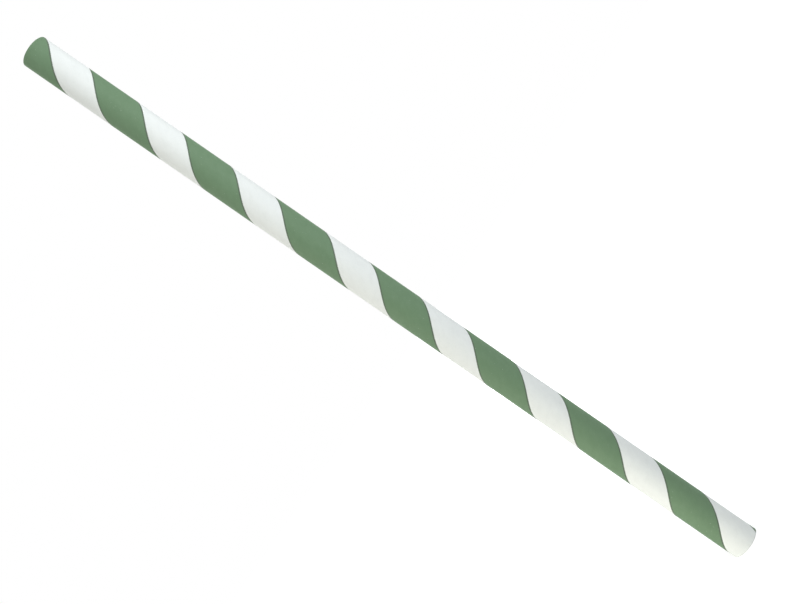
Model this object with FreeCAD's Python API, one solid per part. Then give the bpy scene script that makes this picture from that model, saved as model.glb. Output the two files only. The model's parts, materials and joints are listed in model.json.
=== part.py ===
"""Paper drinking straw: a stiff tube wound from glued strips of paper and cut square at both ends.

The straw stands on its cut end, because it would roll on its side. Its axis is +Z, and the origin
is on the table, in the middle of that end. The front of the straw is its -Y side. Units are
millimetres.
"""
import FreeCAD, Part

import math
import os

# Driving dimensions of the tube
STRAW_LENGTH = 200.0
OUTER_DIAMETER = 8.0
WALL = 0.4

# Every strip climbs as a right-handed spiral with this pitch, and its two edges meet in a seam.
# The outer strip's seam first crosses the front of the straw at SEAM_HEIGHT. The inner strip's seam
# runs beside it, SEAM_STAGGER of a turn further on, so that the two never meet.
STRIP_PITCH = 26.4
SEAM_HEIGHT = 8.75
SEAM_STAGGER = 0.5
SEAM_WIDTH = 0.12
SEAM_DEPTH = 0.08

OUTER_RADIUS = OUTER_DIAMETER / 2
INNER_RADIUS = OUTER_RADIUS - WALL

# The cut that makes a seam starts this far off the wall's face, and runs this far past both ends
CUT_OFF_FACE = SEAM_DEPTH
CUT_PAST_END = OUTER_RADIUS


def plain_tube():
    """The wall before its seams are cut: a length of round tube with square ends."""
    outside = Part.makeCylinder(OUTER_RADIUS, STRAW_LENGTH)
    bore = Part.makeCylinder(INNER_RADIUS, STRAW_LENGTH)
    return outside.cut(bore)


def seam_space(face_radius, outward, seam_height):
    """The space of one seam: a narrow V that follows the spiral, from below the foot to past the top.

    face_radius is the radius of the wall's face, outward is 1 on the outside and -1 in the bore,
    and seam_height is a height at which the seam crosses the front of the straw.
    """
    bottom_radius = face_radius - outward * SEAM_DEPTH
    mouth_radius = face_radius + outward * CUT_OFF_FACE
    # The V is drawn in an upright plane through the axis, which cuts the slanting seam wider than
    # square to it
    slant = math.atan2(STRIP_PITCH, 2 * math.pi * face_radius)
    width_at_face = SEAM_WIDTH / math.cos(slant)
    half_mouth = width_at_face / 2 * (SEAM_DEPTH + CUT_OFF_FACE) / SEAM_DEPTH
    bottom = FreeCAD.Vector(bottom_radius, 0, 0)
    mouth_high = FreeCAD.Vector(mouth_radius, 0, half_mouth)
    mouth_low = FreeCAD.Vector(mouth_radius, 0, -half_mouth)
    profile = Part.makePolygon([bottom, mouth_high, mouth_low, bottom])
    spiral = Part.makeHelix(STRIP_PITCH, STRAW_LENGTH + 2 * CUT_PAST_END, face_radius)
    make_solid = True
    keep_upright = True
    space = Part.Wire(spiral).makePipeShell([profile], make_solid, keep_upright)
    # It starts over +X, below the foot. A quarter turn back brings its start to the front, and it
    # is turned back further by what the spiral climbs from there to seam_height.
    climb = CUT_PAST_END + seam_height
    start_angle = -90 - 360 * climb / STRIP_PITCH
    space.rotate(FreeCAD.Vector(0, 0, 0), FreeCAD.Vector(0, 0, 1), start_angle)
    space.translate(FreeCAD.Vector(0, 0, -CUT_PAST_END))
    return space


def straw_tube():
    """The whole straw: one wound and glued wall, open at both ends, with the two seams that show."""
    outer_seam = seam_space(OUTER_RADIUS, 1, SEAM_HEIGHT)
    inner_seam = seam_space(INNER_RADIUS, -1, SEAM_HEIGHT + SEAM_STAGGER * STRIP_PITCH)
    return plain_tube().cut(outer_seam).cut(inner_seam)


def export(name, shape):
    """Writes one sub-part as a STEP file and prints what it holds."""
    os.makedirs("parts", exist_ok=True)
    shape.exportStep(f"parts/{name}.step")
    print(f"{name}: {len(shape.Solids)} solid, {shape.Volume:.2f} mm3, valid {shape.isValid()}")


export("straw_tube", straw_tube())
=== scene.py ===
"""A paper drinking straw, wound from strips of paper with a green band printed along the outer one.

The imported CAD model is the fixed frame. Over it goes one closed skin with the printed outer strip, the
bare bore and the two cut ends, each with its own finish, and round it a plain pale studio.

Lengths are in metres and angles in radians unless a name says otherwise. Places on the paper, which the
finishes read from the attribute STRIP_PLACE, are in millimetres along and across the unrolled strip.
"""

import json
import logging
import math
from dataclasses import dataclass
from enum import IntEnum
from typing import Any, Mapping, Optional, Tuple, Union

import bpy
import numpy as np
from mathutils import Matrix, Vector

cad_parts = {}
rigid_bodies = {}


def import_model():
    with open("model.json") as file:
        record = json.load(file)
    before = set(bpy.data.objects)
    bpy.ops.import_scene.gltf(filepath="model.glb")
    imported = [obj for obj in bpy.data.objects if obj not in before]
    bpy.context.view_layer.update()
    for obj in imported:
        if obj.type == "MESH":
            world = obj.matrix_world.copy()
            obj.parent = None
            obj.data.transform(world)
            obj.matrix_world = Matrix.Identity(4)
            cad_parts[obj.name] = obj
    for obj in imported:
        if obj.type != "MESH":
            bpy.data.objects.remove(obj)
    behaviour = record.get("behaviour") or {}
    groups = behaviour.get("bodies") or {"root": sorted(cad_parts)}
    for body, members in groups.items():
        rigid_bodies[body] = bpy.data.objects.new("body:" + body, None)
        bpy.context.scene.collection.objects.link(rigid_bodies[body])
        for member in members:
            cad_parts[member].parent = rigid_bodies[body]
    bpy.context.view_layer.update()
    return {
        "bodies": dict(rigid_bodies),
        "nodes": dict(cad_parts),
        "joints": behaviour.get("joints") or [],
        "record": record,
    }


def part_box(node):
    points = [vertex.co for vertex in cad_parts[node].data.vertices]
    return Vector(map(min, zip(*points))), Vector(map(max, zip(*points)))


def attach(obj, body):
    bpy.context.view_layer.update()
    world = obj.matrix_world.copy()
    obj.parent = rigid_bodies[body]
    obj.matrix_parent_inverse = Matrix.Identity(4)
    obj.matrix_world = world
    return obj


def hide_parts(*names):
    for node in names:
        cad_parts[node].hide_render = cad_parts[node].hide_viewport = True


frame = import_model()

MM = 0.001
TUBE_NODE = "straw_tube"
BODY = "root"
STRIP_PLACE = "strip_place"
# Name of the skin's own flat map
FLAT_MAP = "OFBake"
PHOTO_SIZE_PX = (800, 604)

log = logging.getLogger("straw")

Array = np.ndarray
Colour = Tuple[float, float, float]
Pair = Tuple[float, float]


class Zone(IntEnum):
    """The parts of the skin that differ in finish, numbered as its material slots are."""

    PRINTED = 0
    BARE = 1
    BORE = 2
    CUT = 3


class Layer(IntEnum):
    """The runs of the loop round the wall, numbered so far apart that no two patterns match."""

    OUTSIDE = 0
    BORE = 40
    TOP_CUT = 80
    FOOT_CUT = 120


class Draw(IntEnum):
    """The starts of the random draws, one for each unevenness."""

    OUTSIDE = 3
    BORE = 5
    CRUMB = 7
    GRAIN = 9


def ripples(first: Array, second: Array, wave: Pair, count: int, seed: Draw) -> Array:
    """Gives a gentle unevenness over two coordinates.

    It is the sum of `count` sines, each of the two coordinates times its own two random rates plus a
    random phase, divided by twice the root of half the count, so it mostly stays between -1 and 1.

    Args:
        first: First coordinate.
        second: Second coordinate, of a matching shape.
        wave: Shortest wave along each coordinate, in the coordinate's unit.
        count: How many sines are summed.
        seed: Start of the random draws.

    Returns:
        The unevenness at each place.
    """
    draw = np.random.default_rng(int(seed))
    rates = 2 * np.pi * draw.uniform(-1, 1, (count, 2)) / np.array(wave)
    phases = draw.uniform(0, 2 * np.pi, count)
    turns = first[..., None] * rates[:, 0] + second[..., None] * rates[:, 1] + phases
    return np.sin(turns).sum(-1) / math.sqrt(count / 2) / 2


def hump(distance: Array, width: float) -> Array:
    """The height of a smooth rounded ridge: e to the minus square of distance over width."""
    return np.exp(-((distance / width) ** 2))


@dataclass(frozen=True)
class Winding:
    """The spiral that the strips follow, right-handed about +Z and measured from the front, -Y.

    Attributes:
        length: Length of the tube.
        outer_radius: Radius of the printed outside.
        bore_radius: Radius of the bore.
        pitch: Climb of a strip in one turn.
        seam_height: Height where the outer seam first crosses the front.
        bore_seam: Share of the pitch from the outer seam down to the bore's.
        band_share: Share of the strip's width that is printed, from the seam.
        wander: How far the seam strays up or down from a true spiral.
        wander_wave: Length over which it strays once up and once down.
        top_pull: How much further it strays at the top end.
        top_reach: Length over which that dies away.
        foot_pull: How much further it strays at the foot.
        foot_reach: Length over which that dies away.
    """

    length: float
    outer_radius: float
    bore_radius: float
    pitch: float = 26.4 * MM
    seam_height: float = 8.75 * MM
    bore_seam: float = 0.5
    band_share: float = 0.5440
    wander: float = 0.17 * MM
    wander_wave: float = 95.0 * MM
    top_pull: float = 0.12 * MM
    top_reach: float = 9.0 * MM
    foot_pull: float = 0.55 * MM
    foot_reach: float = 5.0 * MM

    @classmethod
    def read(cls, packed: Mapping[str, Any]) -> "Winding":
        """Reads the tube's length from its CAD node and its radii from the record's mounts.


        Returns:
            The tube's winding.
        """
        low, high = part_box(TUBE_NODE)
        radii = {m["name"]: m["dims"].get("r_mm", 0.0) * MM for m in packed["record"]["mounts"]}
        return cls(high.z - low.z, radii["outside"], radii["bore"])

    @property
    def wall(self) -> float:
        """Thickness of the paper wall."""
        return self.outer_radius - self.bore_radius

    def turns(self, height: Array, share: Array) -> Array:
        """Gives the turns round the tube from the front.

        They are the height above the seam's start, plus the stray, over the pitch, less the share. The
        stray is the wander times the cosine of the height's turn of its wave, plus the pull at each
        end, which dies away as a hump.

        Args:
            height: Height above the foot.
            share: Share of the pitch below the outer seam.

        Returns:
            The turns, with whole ones counted.
        """
        stray = self.wander * np.cos(2 * np.pi * height / self.wander_wave)
        stray = stray + self.top_pull * hump(self.length - height, self.top_reach)
        stray = stray + self.foot_pull * hump(height, self.foot_reach)
        return (height - self.seam_height + stray) / self.pitch - share

    def strip_width(self, radius: float) -> float:
        """Width of a strip whose edges meet on a tube of this radius: round times pitch over slant."""
        around = 2 * math.pi * radius
        return around * self.pitch / math.hypot(around, self.pitch)

    def along(self, height: Array, share: Array, radius: float) -> Array:
        """Gives the distance along the unrolled strip: way round and way up, each laid on its slant.

        Args:
            height: Height above the foot.
            share: Share of the pitch below the outer seam.
            radius: Radius of the tube that the strip is wound on.

        Returns:
            The distance from a fixed start.
        """
        around = 2 * math.pi * radius
        way_round = around * self.turns(height, share)
        return (way_round * around + height * self.pitch) / math.hypot(around, self.pitch)


@dataclass(frozen=True)
class CutEnd:
    """A knife-cut end of the wall: the form of its section, and how rough the knife leaves it.

    Attributes:
        steps: Steps across the cut, between its rounded edges.
        edge_steps: Steps round each rounded edge.
        edge_round: Radius of its edges.
        ply_marks: Shares of the wall, from the bore, where one sheet ends and the next begins.
        ply_gap: Depth of the line between two sheets.
        ply_reach: Share of the wall over which that line rises on each side.
        fuzz: Depth of the fuzz.
        crumb_wave: Shortest waves of the coarse fuzz, on a circle of radius 1 round the axis.
        crumb_sines: How many sines make up the coarse fuzz.
        crumb_share: How much of the fuzz is coarse.
        grain_wave: Shortest waves of the fine fuzz, in the coarse fuzz's height and in walls.
        grain_sines: How many sines make up the fine fuzz.
    """

    steps: int = 14
    edge_steps: int = 4
    edge_round: float = 0.03 * MM
    ply_marks: Pair = (0.34, 0.675)
    ply_gap: float = 0.02 * MM
    ply_reach: float = 0.045
    fuzz: float = 0.012 * MM
    crumb_wave: Pair = (0.05, 0.05)
    crumb_sines: int = 24
    crumb_share: float = 0.6
    grain_wave: Pair = (1.1, 0.5)
    grain_sines: int = 12

    @property
    def runs(self) -> int:
        """Faces from the outside's last row, over the cut, to the bore's first."""
        return self.steps + 2 * self.edge_steps

    def way(self, wall: float) -> float:
        """The way over the cut: straight between two quarter circles."""
        return wall + (math.pi - 2) * self.edge_round

    def section(self, wall: float) -> Tuple[Array, Array]:
        """Gives the rows over the cut, from the outside to the bore.

        It is a straight run across the wall between two quarter circles, whose share of the wall and
        rise follow the cosine and sine of their angle.

        Args:
            wall: Thickness of the wall.

        Returns:
            The share of the wall from the bore, and the rise above the start of the rounded edge.
        """
        corner = self.edge_round / wall
        bend = np.linspace(0, np.pi / 2, self.edge_steps + 1)
        across = np.linspace(1 - corner, corner, self.steps + 1)[1:-1]
        drop_in = 1 - corner * (1 - np.cos(bend[1:]))
        share = np.concatenate([drop_in, across, 1 - drop_in[::-1]])
        rise = np.concatenate([np.sin(bend[1:]), np.ones(len(across)), np.sin(bend[:0:-1])])
        return share, rise * self.edge_round

    def sink(self, wall: Array, turns: Array) -> Array:
        """Gives how far the cut lies below its plane.

        It is a hump for each line between sheets, plus the fuzz, which is coarse ripples round the tube
        and fine ripples of those across the wall. All of it follows a parabola that is 1 in the middle
        of the wall and 0 at its faces.

        Args:
            wall: Share of the wall from the bore.
            turns: Turns round the tube.

        Returns:
            The depth.
        """
        angle = 2 * np.pi * turns
        lines = sum(hump(wall - mark, self.ply_reach) for mark in self.ply_marks)
        crumb = ripples(np.sin(angle), np.cos(angle), self.crumb_wave, self.crumb_sines, Draw.CRUMB)
        grain = ripples(crumb, wall, self.grain_wave, self.grain_sines, Draw.GRAIN)
        fuzz = np.abs(crumb * self.crumb_share + grain * (1 - self.crumb_share))
        return 4 * wall * (1 - wall) * (self.ply_gap * lines + self.fuzz * fuzz)


@dataclass(frozen=True)
class WoundTube:
    """The whole wound tube as one closed skin.

    The skin is a grid. Its columns keep a fixed share of the pitch from the seam, so they run with the
    spiral, and the band's edge and both seams lie exactly on columns. Its rows go up the outside, over
    the top cut, down the bore and back under the foot cut.

    Attributes:
        winding: The spiral it is wound on.
        cut: The form of both its ends.
        even_columns: Columns spread evenly round a pitch.
        seam_columns: Distances of the extra columns from a seam, in widths of its gap.
        least_apart: Least distance of an even column from the others, in even steps.
        outside_steps: Steps up the outside, a multiple of the map's lanes.
        bore_steps: Steps down the bore, a multiple of the map's lanes.
        seam_width: Width of the gap where a strip's edges meet.
        seam_depth: Depth of that gap, which is one sheet of paper.
        edge_lift: How far the outer strip's edges stand up beside the seam.
        lift_reach: Width over which they do.
        hidden_seam: Share of the pitch where the middle strip's seam shows through.
        hidden_depth: Depth of that mark.
        hidden_width: Width of that mark.
        unevenness: How uneven the wound paper is.
        outside_wave: Shortest waves of that along and across the outer strip.
        bore_wave: The same on the bore's strip.
        wave_sines: How many sines make it up.
        lanes: Lanes that each strip is cut into on the map.
        lane_gap: Gap between lanes on the map.
        outside_spread: How many times wider than life the outer strip lies on the map.
        bore_spread: The same for the bore's strip, which shows less.
        cut_spread: The same for the cuts.
        ribbon_gap: Gap between the cuts on the map.
    """

    winding: Winding
    cut: CutEnd = CutEnd()
    even_columns: int = 80
    seam_columns: Tuple[float, ...] = (1 / 6, 1 / 2, 1.0, 2.0)
    least_apart: float = 0.35
    outside_steps: int = 543
    bore_steps: int = 399
    seam_width: float = 0.12 * MM
    seam_depth: float = 0.08 * MM
    edge_lift: float = 0.008 * MM
    lift_reach: float = 0.5 * MM
    hidden_seam: float = 0.70
    hidden_depth: float = 0.010 * MM
    hidden_width: float = 0.45 * MM
    unevenness: float = 0.005 * MM
    outside_wave: Pair = (14.0 * MM, 6.0 * MM)
    bore_wave: Pair = (11.0 * MM, 5.0 * MM)
    wave_sines: int = 9
    lanes: int = 3
    lane_gap: float = 0.8 * MM
    outside_spread: float = 1.55
    bore_spread: float = 0.42
    cut_spread: float = 3.0
    ribbon_gap: float = 3.2 * MM

    def columns(self) -> Array:
        """Gives the columns' shares of a pitch below the outer seam.

        They are even, with extra ones on and beside each seam and one on the band's edge. An even
        column too near one of these is left out.

        Returns:
            The shares, in order.
        """
        width = self.winding.strip_width(self.winding.outer_radius)
        beside = np.array(self.seam_columns) * self.seam_width / width
        beside = np.concatenate([-beside, [0.0], beside])
        kept = np.concatenate([beside % 1, self.winding.bore_seam + beside, [self.winding.band_share]])
        even = np.arange(self.even_columns) / self.even_columns
        apart = np.abs((even[:, None] - kept + 0.5) % 1 - 0.5).min(1)
        return np.sort(np.concatenate([kept, even[apart > self.least_apart / self.even_columns]]))

    def runs(self) -> Mapping[Layer, range]:
        """Gives the rows of faces on each run of the loop.

        Returns:
            The rows, in the loop's order.
        """
        order = (Layer.OUTSIDE, Layer.TOP_CUT, Layer.BORE, Layer.FOOT_CUT)
        ends = np.cumsum([0, self.outside_steps, self.cut.runs, self.bore_steps, self.cut.runs])
        return {layer: range(first, last) for layer, first, last in zip(order, ends, ends[1:])}

    def rows(self) -> Tuple[Array, Array]:
        """Gives the rows of the loop round the wall's section.

        The outside and the bore are straight runs, and the cuts lie between them.

        Returns:
            The share of the wall from the bore, and the height.
        """
        edge, length = self.cut.edge_round, self.winding.length
        cut_wall, cut_rise = self.cut.section(self.winding.wall)
        climb = np.linspace(edge, length - edge, self.outside_steps + 1)
        descent = np.linspace(length - edge, edge, self.bore_steps + 1)
        wall = np.concatenate([np.ones(len(climb)), cut_wall, np.zeros(len(descent)), cut_wall[::-1]])
        top = length - edge + cut_rise
        height = np.concatenate([climb, top, descent, edge - cut_rise[::-1]])
        return wall, height

    def outside_offset(self, along: Array, share: Array) -> Array:
        """Gives how far the outside stands off its plain radius.

        It is the paper's unevenness, plus the lift of the strip's edges as a hump about the seam, less
        the mark of the hidden seam as a hump, less the seam's straight-sided gap, which is deepest at
        the seam and gone at half its width.

        Args:
            along: Distance along the strip.
            share: Share of the pitch below the seam.

        Returns:
            The offset, outward.
        """
        width = self.winding.strip_width(self.winding.outer_radius)
        seam = ((share + 0.5) % 1 - 0.5) * width
        hidden = (share - self.hidden_seam) * width
        wave = ripples(along, share * width, self.outside_wave, self.wave_sines, Draw.OUTSIDE)
        gap = np.clip(1 - 2 * np.abs(seam) / self.seam_width, 0, 1)
        lift = self.edge_lift * hump(seam, self.lift_reach)
        mark = self.hidden_depth * hump(hidden, self.hidden_width)
        return self.unevenness * wave * (1 - gap) + lift - mark - self.seam_depth * gap

    def bore_offset(self, along: Array, share: Array) -> Array:
        """Gives how far the bore's face stands off its plain radius: its seam's gap and its unevenness.

        Args:
            along: Distance along the strip.
            share: Share of the pitch below the outer seam.

        Returns:
            The offset, outward.
        """
        width = self.winding.strip_width(self.winding.bore_radius)
        seam = (share - self.winding.bore_seam) * width
        wave = ripples(along, share * width, self.bore_wave, self.wave_sines, Draw.BORE)
        gap = np.clip(1 - 2 * np.abs(seam) / self.seam_width, 0, 1)
        return self.unevenness * wave * (1 - gap) + self.seam_depth * gap

    def points(self) -> Array:
        """Gives the skin's points, by row and column.

        A point's radius goes from the bore's to the outside's by its share of the wall, each with its
        own offset. Its angle is the winding's for its height and its share of the pitch. On a cut it
        lies nearer the tube's middle by the cut's sink.

        Returns:
            The points' places.
        """
        winding = self.winding
        wall, height = self.rows()
        level, share = np.meshgrid(height, self.columns(), indexing="ij")
        wall = wall[:, None]
        along_outside = winding.along(level, share, winding.outer_radius)
        along_bore = winding.along(level, share, winding.bore_radius)
        outside = winding.outer_radius + self.outside_offset(along_outside, share)
        bore = winding.bore_radius + self.bore_offset(along_bore, share)
        radius = bore + (outside - bore) * wall
        turns = winding.turns(level, share)
        sink = self.cut.sink(wall, turns) * ((wall > 0) & (wall < 1))
        sunk = level - np.sign(level - winding.length / 2) * sink
        angle = 2 * np.pi * turns
        return np.stack([radius * np.sin(angle), -radius * np.cos(angle), sunk], -1)

    def build(self) -> bpy.types.Object:
        """Builds the closed skin, with its zones, its flat map and its places on the strip.

        Returns:
            The tube's object, at the origin.
        """
        points, share = self.points(), self.columns()
        rows, columns = points.shape[:2]
        row, column = np.indices((rows, columns)).reshape(2, -1)
        corner_row = np.stack([row, row + 1, row + 1, row], 1)
        corner_column = np.stack([column, column, column + 1, column + 1], 1)
        faces = corner_row % rows * columns + corner_column % columns
        flat, place = self.unrolled(row, corner_row, np.append(share, 1.0)[corner_column])

        mesh = bpy.data.meshes.new("wound_straw")
        mesh.from_pydata(points.reshape(-1, 3).tolist(), [], faces.tolist())
        mesh.polygons.foreach_set("material_index", self.zones(row, share[column]).astype(np.int32))
        mesh.shade_smooth()
        uv = mesh.uv_layers.new(name=FLAT_MAP)
        uv.uv.foreach_set("vector", flat.astype(np.float32).ravel())
        places = mesh.attributes.new(STRIP_PLACE, "FLOAT_VECTOR", "CORNER")
        places.data.foreach_set("vector", place.astype(np.float32).ravel())
        mesh.validate()
        piece = bpy.data.objects.new("wound_straw", mesh)
        bpy.context.scene.collection.objects.link(piece)
        return piece

    def zones(self, row: Array, share: Array) -> Array:
        """Gives each face's zone: by its run, and outside by whether its column is in the band.

        Args:
            row: Row of each face.
            share: Share of the pitch of each face's first column.

        Returns:
            The zones.
        """
        runs = self.runs()
        faces = {Layer.OUTSIDE: Zone.PRINTED, Layer.BORE: Zone.BORE}
        zone = [faces.get(layer, Zone.CUT) for layer in runs]
        zone = np.repeat(zone, [len(run) for run in runs.values()])[row]
        bare = (zone == Zone.PRINTED) & (share >= self.winding.band_share)
        return np.where(bare, Zone.BARE, zone)

    def unrolled(self, row: Array, corner_row: Array, share: Array) -> Tuple[Array, Array]:
        """Lays the skin flat for the bake, and gives each corner its place on its strip.

        Each strip is cut into lanes side by side, slanted pieces at their true length that are spread
        across. Each cut is a ribbon above the lanes, as long as the way round, and spread across too.

        Args:
            row: Row of each face.
            corner_row: Row of each face's corners, which may be one past the last.
            share: Share of the pitch of each face's corners, which may be a whole 1.

        Returns:
            The map's coordinates from 0 to 1, and the places on the strip in millimetres, with the
            layer third.
        """
        winding, gap, runs = self.winding, self.lane_gap, self.runs()
        wall, height = self.rows()
        section = np.stack([wall * winding.wall, height], 1)
        section = np.concatenate([section, section[:1]])
        walked = np.concatenate([[0.0], np.hypot(*np.diff(section, axis=0).T).cumsum()])
        level = section[corner_row, 1]
        flat = np.zeros(corner_row.shape + (2,))
        place = np.zeros(corner_row.shape + (3,))
        on_run = {layer: (row >= run.start) & (row < run.stop) for layer, run in runs.items()}
        for layer, here in on_run.items():
            place[here, :, 2] = layer
        left, top = gap, 0.0
        strips = (
            (Layer.OUTSIDE, winding.outer_radius, self.outside_spread),
            (Layer.BORE, winding.bore_radius, self.bore_spread),
        )
        for layer, radius, spread in strips:
            run, here = runs[layer], on_run[layer]
            width = winding.strip_width(radius)
            along = winding.along(level[here], share[here], radius)
            across = share[here] * width
            place[here, :, :2] = np.stack([along, across], -1) / MM
            lane = (row[here] - run.start) * self.lanes // len(run)
            lowest = np.array([along[lane == k].min() for k in range(self.lanes)])
            lane_width = width * spread + gap
            flat[here, :, 0] = left + (lane * lane_width)[:, None] + across * spread
            flat[here, :, 1] = gap + along - lowest[lane][:, None]
            left += self.lanes * lane_width
            top = max(top, flat[here, :, 1].max())
        ring = 2 * math.pi * winding.outer_radius
        for slot, layer in enumerate((Layer.TOP_CUT, Layer.FOOT_CUT)):
            here = on_run[layer]
            across = walked[corner_row[here]] - walked[runs[layer].start]
            around = share[here] * ring
            place[here, :, :2] = np.stack([around, across], -1) / MM
            flat[here, :, 0] = gap + slot * (ring + self.ribbon_gap) + around
            flat[here, :, 1] = top + gap + self.cut_spread * across
        side = max(left, flat[..., 1].max() + gap)
        return flat / side, place

    def dress(self, piece: bpy.types.Object) -> None:
        """Gives each zone its finish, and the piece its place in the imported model.

        Args:
            piece: The tube's object.
        """
        winding, stock = self.winding, PaperStock()
        band_mm = winding.strip_width(winding.outer_radius) * winding.band_share / MM
        way_mm = self.cut.way(winding.wall) / MM
        line_at_mm = (max(self.cut.ply_marks) - 0.5) * winding.wall / MM
        finishes = {
            Zone.PRINTED: PrintedPaper(stock=stock, band_mm=band_mm),
            Zone.BARE: BarePaper(stock=stock),
            Zone.BORE: BorePaper(stock=stock),
            Zone.CUT: CutPaper(stock=stock, way_mm=way_mm, line_at_mm=line_at_mm),
        }
        for zone in sorted(finishes):
            piece.data.materials.append(finishes[zone].make())
        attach(piece, BODY)
        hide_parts(TUBE_NODE)


class Signal:
    """A number, vector or colour on its way through a set of nodes."""

    def __init__(self, sheet: "NodeSheet", socket: Optional[bpy.types.NodeSocket]) -> None:
        """Wraps one output socket of a node on the sheet."""
        self.sheet = sheet
        self.socket = socket

    def other(self, name: str) -> "Signal":
        """Another output of the same node, by name."""
        return Signal(self.sheet, self.socket.node.outputs[name])

    def __add__(self, other: "Value") -> "Signal":
        """The sum."""
        return self.sheet.maths("ADD", self, other)

    def __radd__(self, other: "Value") -> "Signal":
        """The sum, with this one second."""
        return self.sheet.maths("ADD", other, self)

    def __sub__(self, other: "Value") -> "Signal":
        """The difference."""
        return self.sheet.maths("SUBTRACT", self, other)

    def __rsub__(self, other: "Value") -> "Signal":
        """The difference, with this one taken away."""
        return self.sheet.maths("SUBTRACT", other, self)

    def __mul__(self, other: "Value") -> "Signal":
        """The product."""
        return self.sheet.maths("MULTIPLY", self, other)

    def __rmul__(self, other: "Value") -> "Signal":
        """The product, with this one second."""
        return self.sheet.maths("MULTIPLY", other, self)

    def __abs__(self) -> "Signal":
        """The size without its sign."""
        return self.sheet.maths("ABSOLUTE", self)

    def lesser(self, other: "Value") -> "Signal":
        """The smaller of the two."""
        return self.sheet.maths("MINIMUM", self, other)

    def greater(self, other: "Value") -> "Signal":
        """The larger of the two."""
        return self.sheet.maths("MAXIMUM", self, other)

    def rise(self, low: float, high: float) -> "Signal":
        """Gives a smooth step.

        Args:
            low: Where it is 0.
            high: Where it is 1, which may be the smaller of the two.

        Returns:
            The step, from 0 to 1.
        """
        ends = {"Value": self, "From Min": low, "From Max": high, "To Min": 0.0, "To Max": 1.0}
        if low > high:
            ends.update({"From Min": high, "From Max": low, "To Min": 1.0, "To Max": 0.0})
        return self.sheet.node("MapRange", {"interpolation_type": "SMOOTHSTEP"}, ends)


Value = Union[float, int, Signal]


class NodeSheet:
    """The nodes of one material or world, all made by `node`."""

    def __init__(self, owner: Union[bpy.types.Material, bpy.types.World]) -> None:
        """Takes over the owner's nodes and clears them."""
        owner.use_nodes = True
        self.tree = owner.node_tree
        self.tree.nodes.clear()

    def node(
        self,
        kind: str,
        settings: Optional[Mapping[str, Any]] = None,
        inputs: Optional[Mapping[Union[str, int], Any]] = None,
        output: Union[str, int] = 0,
    ) -> Signal:
        """Adds one node.

        Args:
            kind: The node's type, without the word ShaderNode.
            settings: Its own settings, which are set first.
            inputs: The values or links of its input sockets.
            output: The output that is wanted.

        Returns:
            That output, or an empty signal where the node has none.
        """
        made = self.tree.nodes.new("ShaderNode" + kind)
        for name, value in (settings or {}).items():
            setattr(made, name, value)
        for name, value in (inputs or {}).items():
            if isinstance(value, Signal):
                self.tree.links.new(value.socket, made.inputs[name])
            else:
                made.inputs[name].default_value = value
        return Signal(self, made.outputs[output] if len(made.outputs) else None)

    def maths(self, operation: str, *values: Value) -> Signal:
        """One Math node on these values."""
        return self.node("Math", {"operation": operation}, dict(enumerate(values)))

    def vector(self, operation: str, *values: Any, output: Union[str, int] = 0) -> Signal:
        """One Vector Math node on these values."""
        return self.node("VectorMath", {"operation": operation}, dict(enumerate(values)), output)

    def mix(self, first: Any, second: Any, share: Value, how: str = "MIX") -> Signal:
        """Mixes two colours.

        Args:
            first: Colour at a share of 0.
            second: Colour at a share of 1, or the one that works on the first.
            share: How much of the second.
            how: The way of mixing.

        Returns:
            The mixed colour.
        """
        settings = {"data_type": "RGBA", "blend_type": how}
        colours = [c if isinstance(c, Signal) else (*c, 1.0) for c in (first, second)]
        return self.node("Mix", settings, {0: share, 6: colours[0], 7: colours[1]}, 2)

    def noise(self, place: Signal, lump_mm: Pair, detail: float = 2.0, rough: float = 0.5) -> Signal:
        """Gives soft noise over a place on the paper, and another on each of its layers.

        Args:
            place: The place in millimetres along and across, with its layer third.
            lump_mm: Size of the noise's lumps along and across.
            detail: How many finer layers it has.
            rough: How strong those are.

        Returns:
            The noise, mostly between 0.3 and 0.7.
        """
        stretched = self.vector("MULTIPLY", place, (1 / lump_mm[0], 1 / lump_mm[1], 1.0))
        inputs = {"Vector": stretched, "Scale": 1.0, "Detail": detail, "Roughness": rough}
        return self.node("TexNoise", {"noise_dimensions": "3D"}, inputs)

    def surface(self, constants: Mapping[str, Any], fed: Mapping[str, Signal]) -> None:
        """Ends a material with its shader.

        Args:
            constants: Shader sockets that are the same all over.
            fed: Shader sockets that nodes feed.
        """
        shader = self.node("BsdfPrincipled", None, {**constants, **fed})
        self.node("OutputMaterial", None, {"Surface": shader})


@dataclass(frozen=True)
class Grain:
    """What the paper is like at each place, as signals on one material's nodes.

    Attributes:
        place: The place on the strip, in millimetres, with its layer third.
        fibres: The fibres, as noise.
        clouds: The clouds where they bunch, as noise.
        middle: The middle of both noises.
    """

    place: Signal
    fibres: Signal
    clouds: Signal
    middle: float = 0.5

    def blend(self, fibre_share: float) -> Signal:
        """Fibres and clouds as one noise, this much of it fibres."""
        return self.fibres * fibre_share + self.clouds * (1 - fibre_share)

    def less_fibres(self, level: float, spread: float) -> Signal:
        """A level that falls where the fibres stand up, by the spread times their noise."""
        return level + (self.middle - self.fibres) * spread


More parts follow.
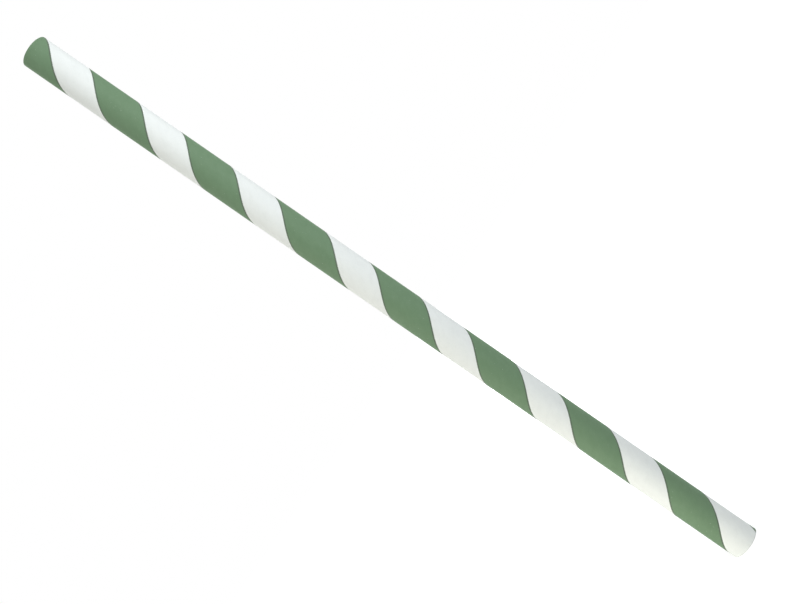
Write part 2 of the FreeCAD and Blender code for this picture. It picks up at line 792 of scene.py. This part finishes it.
@dataclass(frozen=True)
class PaperStock:
    """The uncoated white paper that every strip is cut from.

    Attributes:
        shade: Its colour.
        thin_shade: Its colour where it lies thin.
        thin_range: The noise at which it is thinnest and at which it is whole.
        thin_fibres: Share of fibres in that noise, the rest being clouds.
        fibre_mm: Length and width of its fibres, which lie mostly along the strip.
        cross_mm: The same for the fibres that lie turned from those.
        cross_turn_deg: How far they are turned.
        straight_share: Share of the fibres that lie along the strip.
        cloud_mm: Size of the clouds that show where the fibres bunch.
        relief_mm: How far its fibres stand up.
    """

    shade: Colour = (0.800, 0.830, 0.795)
    thin_shade: Colour = (0.746, 0.775, 0.741)
    thin_range: Pair = (0.30, 0.56)
    thin_fibres: float = 0.6
    fibre_mm: Pair = (0.55, 0.07)
    cross_mm: Pair = (0.385, 0.098)
    cross_turn_deg: float = 57.0
    straight_share: float = 0.62
    cloud_mm: Pair = (2.2, 1.3)
    relief_mm: float = 0.006

    def place(self, sheet: NodeSheet) -> Signal:
        """The place on the strip, in millimetres, with its layer third."""
        return sheet.node("Attribute", {"attribute_name": STRIP_PLACE}, None, "Vector")

    def grain(self, sheet: NodeSheet) -> Grain:
        """Gives the paper's fibres, one set along the strip and one turned from it, and its clouds.

        Args:
            sheet: The material's nodes.

        Returns:
            The grain at each place.
        """
        place = self.place(sheet)
        turn = {"Vector": place, "Angle": math.radians(self.cross_turn_deg)}
        turned = sheet.node("VectorRotate", {"rotation_type": "Z_AXIS"}, turn)
        straight = sheet.noise(place, self.fibre_mm)
        crossed = sheet.noise(turned, self.cross_mm, detail=1.0)
        fibres = straight * self.straight_share + crossed * (1 - self.straight_share)
        return Grain(place, fibres, sheet.noise(place, self.cloud_mm, detail=3.0, rough=0.6))

    def colour(self, sheet: NodeSheet, grain: Grain) -> Signal:
        """The bare paper's colour: thin where fibres and clouds are low."""
        whole = grain.blend(self.thin_fibres).rise(*self.thin_range)
        return sheet.mix(self.thin_shade, self.shade, whole)

    def normal(self, sheet: NodeSheet, height: Signal, relief: float) -> Signal:
        """The surface's tilt for a height from 0 to 1, which stands for this many of its reliefs."""
        distance = self.relief_mm * relief * MM
        return sheet.node("Bump", None, {"Height": height, "Strength": 1.0, "Distance": distance})


@dataclass(frozen=True, kw_only=True)
class BarePaper:
    """The unprinted part of the outer strip, and the base of the strips' other finishes.

    Attributes:
        stock: The paper.
        name: The material's name.
        roughness: How matt it is.
        rough_spread: How much the fibres change that.
        relief: How deep its relief is, in that of the stock.
        relief_fibres: Share of fibres in the relief, the rest being clouds.
        shine: How strongly it mirrors.
    """

    stock: PaperStock
    name: str = "bare_white_paper"
    roughness: float = 0.75
    rough_spread: float = 0.2
    relief: float = 1.0
    relief_fibres: float = 0.7
    shine: float = 0.2

    def colour(self, sheet: NodeSheet, grain: Grain) -> Signal:
        """The finish's colour, which is here the stock's own."""
        return self.stock.colour(sheet, grain)

    def grain(self, sheet: NodeSheet) -> Grain:
        """The finish's grain, which is here the stock's own."""
        return self.stock.grain(sheet)

    def make(self) -> bpy.types.Material:
        """Makes the finish: its colour, the fibres' relief and a little unevenness in its shine.

        Returns:
            The material.
        """
        material = bpy.data.materials.new(self.name)
        sheet = NodeSheet(material)
        grain = self.grain(sheet)
        fed = {
            "Base Color": self.colour(sheet, grain),
            "Roughness": grain.less_fibres(self.roughness, self.rough_spread),
            "Normal": self.stock.normal(sheet, grain.blend(self.relief_fibres), self.relief),
        }
        sheet.surface({"Specular IOR Level": self.shine}, fed)
        return material


@dataclass(frozen=True, kw_only=True)
class PrintedPaper(BarePaper):
    """The green band: water-based ink that soaks into the paper.

    Attributes:
        band_mm: Width of the band across the strip.
        ink: The ink's colour.
        thin_ink: Its colour where it lies thin.
        thin_range: The noise at which it starts to thin and at which it is thinnest.
        ink_fibres: Share of fibres in that noise, the rest being clouds.
        thin_share: How far it goes to the thin colour.
        squeezed_ink: Its colour in the line where the plate squeezes it out at the band's edges.
        squeeze_mm: Distances from the band's edge where that line ends and where it is whole.
        creep_mm: Length and width of the creeps that make the band's edge ragged.
        creep_range: The noise at which they start and at which they are whole.
        ragged_mm: How far the band's edge creeps in.
        cover_mm: Distances from that edge where the ink starts and where it covers.
        fleck_mm: Length and width of the flecks that the ink missed.
        fleck_range: The noise at which a fleck starts and at which it is whole.
        fleck_share: How much of the ink a fleck lacks.
    """

    band_mm: float
    name: str = "green_printed_paper"
    roughness: float = 0.65
    rough_spread: float = 0.18
    relief: float = 0.8
    ink: Colour = (0.143, 0.234, 0.134)
    thin_ink: Colour = (0.175, 0.272, 0.165)
    thin_range: Pair = (0.40, 0.68)
    ink_fibres: float = 0.55
    thin_share: float = 0.55
    squeezed_ink: Colour = (0.112, 0.150, 0.104)
    squeeze_mm: Pair = (0.50, 0.18)
    creep_mm: Pair = (0.22, 0.10)
    creep_range: Pair = (0.35, 0.65)
    ragged_mm: float = 0.03
    cover_mm: Pair = (-0.015, 0.03)
    fleck_mm: Pair = (0.42, 0.30)
    fleck_range: Pair = (0.745, 0.80)
    fleck_share: float = 0.4

    def colour(self, sheet: NodeSheet, grain: Grain) -> Signal:
        """Gives the ink's colour over the stock's, as far as the ink covers it.

        The distance from the band's edge is the way across or what is left of the band, whichever is
        less, less the creep. The ink covers from there on, apart from the flecks.

        Args:
            sheet: The material's nodes.
            grain: The paper under the ink.

        Returns:
            The colour.
        """
        across = sheet.node("SeparateXYZ", None, {0: grain.place}, "Y")
        creep = sheet.noise(grain.place, self.creep_mm).rise(*self.creep_range)
        edge = across.lesser(self.band_mm - across) - creep * self.ragged_mm
        missed = sheet.noise(grain.place, self.fleck_mm, detail=1.0).rise(*self.fleck_range)
        cover = edge.rise(*self.cover_mm) * (1 - missed * self.fleck_share)
        thin = grain.blend(self.ink_fibres).rise(*self.thin_range) * self.thin_share
        ink = sheet.mix(self.ink, self.thin_ink, thin)
        ink = sheet.mix(ink, self.squeezed_ink, edge.rise(*self.squeeze_mm))
        return sheet.mix(self.stock.colour(sheet, grain), ink, cover)


@dataclass(frozen=True, kw_only=True)
class BorePaper(BarePaper):
    """The bare inner strip, a little rougher and duller than the outside.

    Attributes:
        dull: The colour that dulls the stock's own.
    """

    name: str = "bore_paper"
    rough_spread: float = 0.15
    relief: float = 1.4
    relief_fibres: float = 0.6
    shine: float = 0.3
    dull: Colour = (0.93, 0.93, 0.92)

    def colour(self, sheet: NodeSheet, grain: Grain) -> Signal:
        """The stock's colour times the dull one."""
        return sheet.mix(self.stock.colour(sheet, grain), self.dull, 1.0, "MULTIPLY")


@dataclass(frozen=True, kw_only=True)
class CutPaper(BarePaper):
    """A knife-cut end: three sheets of torn fibre with a thin glue line between each two.

    Attributes:
        way_mm: Way over the cut, with its rounded edges.
        line_at_mm: How far from the middle of that way the two glue lines lie.
        glue: Colour of the glue lines.
        core: Colour of the torn fibres between them.
        line_mm: Distances from a line's middle where it ends and where it is whole.
        line_share: How much of the glue shows there.
        fuzz_mm: Length and width of the torn fibres.
        fuzz_range: The noise at which they start to turn pale and at which they are palest.
        sway_mm: How far they push the glue lines about.
    """

    way_mm: float
    line_at_mm: float
    name: str = "cut_paper_edge"
    roughness: float = 0.85
    rough_spread: float = 0.1
    relief: float = 2.0
    relief_fibres: float = 1.0
    shine: float = 0.25
    glue: Colour = (0.56, 0.55, 0.50)
    core: Colour = (0.74, 0.74, 0.70)
    line_mm: Pair = (0.030, 0.009)
    line_share: float = 0.7
    fuzz_mm: Pair = (0.09, 0.035)
    fuzz_range: Pair = (0.36, 0.64)
    sway_mm: float = 0.05

    def grain(self, sheet: NodeSheet) -> Grain:
        """The torn fibres, which stand for clouds too."""
        place = self.stock.place(sheet)
        fuzz = sheet.noise(place, self.fuzz_mm, detail=3.0, rough=0.65)
        return Grain(place, fibres=fuzz, clouds=fuzz)

    def colour(self, sheet: NodeSheet, grain: Grain) -> Signal:
        """Gives the torn fibres' colour, with the glue's in its two lines.

        The distance from a line is the way from the middle of the cut, swayed by the fibres, less the
        line's own way from there, both without their signs.

        Args:
            sheet: The material's nodes.
            grain: The torn fibres.

        Returns:
            The colour.
        """
        across = sheet.node("SeparateXYZ", None, {0: grain.place}, "Y")
        swayed = across - grain.less_fibres(self.way_mm / 2, self.sway_mm)
        line = abs(abs(swayed) - self.line_at_mm).rise(*self.line_mm)
        torn = sheet.mix(self.core, self.stock.shade, grain.fibres.rise(*self.fuzz_range))
        return sheet.mix(torn, self.glue, line * self.line_share)


@dataclass(frozen=True)
class Lamp:
    """A square soft lamp that faces the straw's axis.

    Attributes:
        name: What it is called.
        turn_deg: Its bearing from the front, right-handed.
        height: Height of its middle.
        distance: Distance of its middle from the axis.
        size: Its side.
        watts: Its power.
        tint: Colour of its light.
        aim: Height of the place on the axis that it faces, or none where it faces it level.
    """

    name: str
    turn_deg: float
    height: float
    distance: float
    size: float
    watts: float
    tint: Colour = (1.0, 1.0, 1.0)
    aim: Optional[float] = None

    def build(self) -> None:
        """Hangs the lamp in its place, facing the axis."""
        light = bpy.data.lights.new(self.name, "AREA")
        light.shape = "SQUARE"
        light.size = self.size
        light.energy = self.watts
        light.color = self.tint
        hung = bpy.data.objects.new(self.name, light)
        turn = math.radians(self.turn_deg)
        hung.location = (math.sin(turn) * self.distance, -math.cos(turn) * self.distance, self.height)
        faced = Vector((0.0, 0.0, self.height if self.aim is None else self.aim))
        hung.rotation_mode = "QUATERNION"
        hung.rotation_quaternion = (hung.location - faced).to_track_quat("Z", "Y")
        hung.visible_camera = False
        bpy.context.scene.collection.objects.link(hung)


COOL = (0.99, 1.0, 1.04)
BLUE = (0.98, 1.0, 1.18)
WARM = (1.05, 1.0, 0.89)
ROSE = (1.05, 1.0, 0.98)
LAMPS = (
    Lamp("upper_soft", 35.0, 0.190, 0.200, 0.080, 0.1696, COOL),
    Lamp("upper_near", 48.6, 0.185, 0.147, 0.051, 0.0500, COOL),
    Lamp("right_soft", 75.0, 0.100, 0.250, 0.100, 0.0451, BLUE),
    Lamp("left_soft", -98.0, 0.050, 0.500, 0.300, 0.838, ROSE),
    Lamp("low_soft", -60.0, 0.045, 0.200, 0.080, 0.1079, WARM),
    Lamp("foot_near", -45.0, 0.012, 0.050, 0.020, 0.0042, WARM),
    Lamp("back_soft", 170.0, 0.100, 0.600, 0.200, 1.300),
    Lamp("top_soft", 0.0, 0.550, 0.050, 0.200, 0.500, aim=0.2),
)


@dataclass(frozen=True)
class Studio:
    """A plain pale floor under the foot, an even surround and the soft lamps.

    Attributes:
        floor_side: Side of the floor.
        floor_drop: How far the floor lies below the foot.
        floor_shade: The floor's colour.
        floor_roughness: How matt the floor is.
        near_glow: Light that the camera sees from the floor by the foot.
        far_glow: The same, far from it.
        glow_reach: Distances from the foot where the near glow ends and where the far one starts.
        surround: Level of the even light.
        surround_tint: Its colour.
        backdrop: Level of the white that the camera sees.
    """

    floor_side: float = 8.0
    floor_drop: float = 0.05 * MM
    floor_shade: Colour = (0.80, 0.80, 0.80)
    floor_roughness: float = 0.9
    near_glow: float = 0.50
    far_glow: float = 1.0
    glow_reach: Pair = (0.03, 0.30)
    surround: float = 0.4
    surround_tint: Colour = (0.965, 1.0, 1.01)
    backdrop: float = 1.0

    def seen(self, sheet: NodeSheet) -> Signal:
        """1 for rays from the camera and for gloss and glass, 0 for all other light."""
        path = sheet.node("LightPath", None, None, "Is Camera Ray")
        return path.greater(path.other("Is Glossy Ray")).greater(path.other("Is Transmission Ray"))

    def floor(self) -> None:
        """Lays the floor: one square, whose material adds the camera's white to its own shading."""
        corners = np.array([[-1, -1], [1, -1], [1, 1], [-1, 1]]) * self.floor_side / 2
        points = np.column_stack([corners, np.full(len(corners), -self.floor_drop)])
        mesh = bpy.data.meshes.new("floor")
        mesh.from_pydata(points.tolist(), [], [range(len(corners))])
        floor = bpy.data.objects.new("floor", mesh)
        bpy.context.scene.collection.objects.link(floor)
        material = bpy.data.materials.new("pale_floor")
        sheet = NodeSheet(material)
        place = sheet.node("TexCoord", None, None, "Object")
        far = sheet.vector("LENGTH", place, output="Value").rise(*self.glow_reach)
        glow = (far * (self.far_glow - self.near_glow) + self.near_glow) * self.seen(sheet)
        white = sheet.mix((0.0, 0.0, 0.0), (1.0, 1.0, 1.0), glow)
        constants = {
            "Base Color": (*self.floor_shade, 1.0),
            "Roughness": self.floor_roughness,
            "Specular IOR Level": 0.0,
            "Emission Strength": 1.0,
        }
        sheet.surface(constants, {"Emission Color": white})
        mesh.materials.append(material)

    def world(self) -> None:
        """Sets the even surround, which the camera and gloss see as plain white."""
        world = bpy.data.worlds.new("surround")
        bpy.context.scene.world = world
        sheet = NodeSheet(world)
        lit = {"Color": (*self.surround_tint, 1.0), "Strength": self.surround}
        shown = {"Color": (1.0, 1.0, 1.0, 1.0), "Strength": self.backdrop}
        even = sheet.node("Background", None, lit)
        white = sheet.node("Background", None, shown)
        both = sheet.node("MixShader", None, {0: self.seen(sheet), 1: even, 2: white})
        sheet.node("OutputWorld", None, {"Surface": both})

    def build(self) -> None:
        """Builds the floor, the surround and the lamps, and leaves colours as they are written."""
        self.floor()
        self.world()
        for lamp in LAMPS:
            lamp.build()
        bpy.context.scene.view_settings.view_transform = "Standard"


@dataclass(frozen=True)
class PhotoCamera:
    """The photograph's camera, which looks square at the straw's middle and is rolled on its axis.

    Attributes:
        focal_px: Focal length in the picture's pixels.
        middle_px: Where the straw's middle shows, from the picture's centre, right and down.
        lean: How far the straw, with its foot to the right, is turned clockwise from level.
        tilt: How far the foot comes towards the camera.
        lengths_off: Distance to the straw's middle, in lengths of the straw.
        sensor_mm: Width of the camera's sensor.
        clip: The nearest and the farthest that it sees.
    """

    focal_px: float = 1015.0
    middle_px: Pair = (-11.73, -5.98)
    lean: float = 0.60495
    tilt: float = 0.0105
    lengths_off: float = 1.176
    sensor_mm: float = 36.0
    clip: Pair = (0.01, 50.0)

    def build(self, length: float) -> None:
        """Sets up the camera.

        The straw's middle and axis, written in the camera's right, down and forward, give the straw's
        own directions: down the axis, towards the camera, and across. The camera's are then written in
        those.

        Args:
            length: The straw's length.
        """
        middle = Vector((self.middle_px[0] / self.focal_px, self.middle_px[1] / self.focal_px, 1.0))
        middle *= self.lengths_off * length
        level, nearer = math.cos(self.tilt), math.sin(self.tilt)
        down_axis = Vector((math.cos(self.lean) * level, math.sin(self.lean) * level, -nearer))
        to_camera = -(middle - middle.dot(down_axis) * down_axis).normalized()
        across = down_axis.cross(to_camera)
        rows = Matrix((-across, -to_camera, -down_axis))
        right, down, forward = rows.transposed()
        place = Vector((0.0, 0.0, length / 2)) - rows @ middle
        turned = Matrix((right, -down, -forward)).transposed().to_4x4()
        data = bpy.data.cameras.new("photo_camera")
        data.sensor_width = self.sensor_mm
        data.lens = self.focal_px * self.sensor_mm / PHOTO_SIZE_PX[0]
        data.clip_start, data.clip_end = self.clip
        camera = bpy.data.objects.new("photo_camera", data)
        camera.matrix_world = Matrix.Translation(place) @ turned
        bpy.context.scene.collection.objects.link(camera)
        bpy.context.scene.camera = camera


def report(piece: bpy.types.Object) -> None:
    """Logs a piece's size and how many triangles it has.

    Args:
        piece: The piece.
    """
    piece.data.calc_loop_triangles()
    sides = ", ".join(f"{side / MM:.2f}" for side in piece.dimensions)
    log.info("%s: %s mm, %d triangles", piece.name, sides, len(piece.data.loop_triangles))


def main() -> None:
    """Builds the straw, the studio and the camera, in that order."""
    logging.basicConfig(level=logging.INFO, format="%(name)s: %(message)s")
    winding = Winding.read(frame)
    tube = WoundTube(winding)
    piece = tube.build()
    tube.dress(piece)
    report(piece)
    Studio().build()
    PhotoCamera().build(winding.length)


if __name__ == "__main__":
    main()
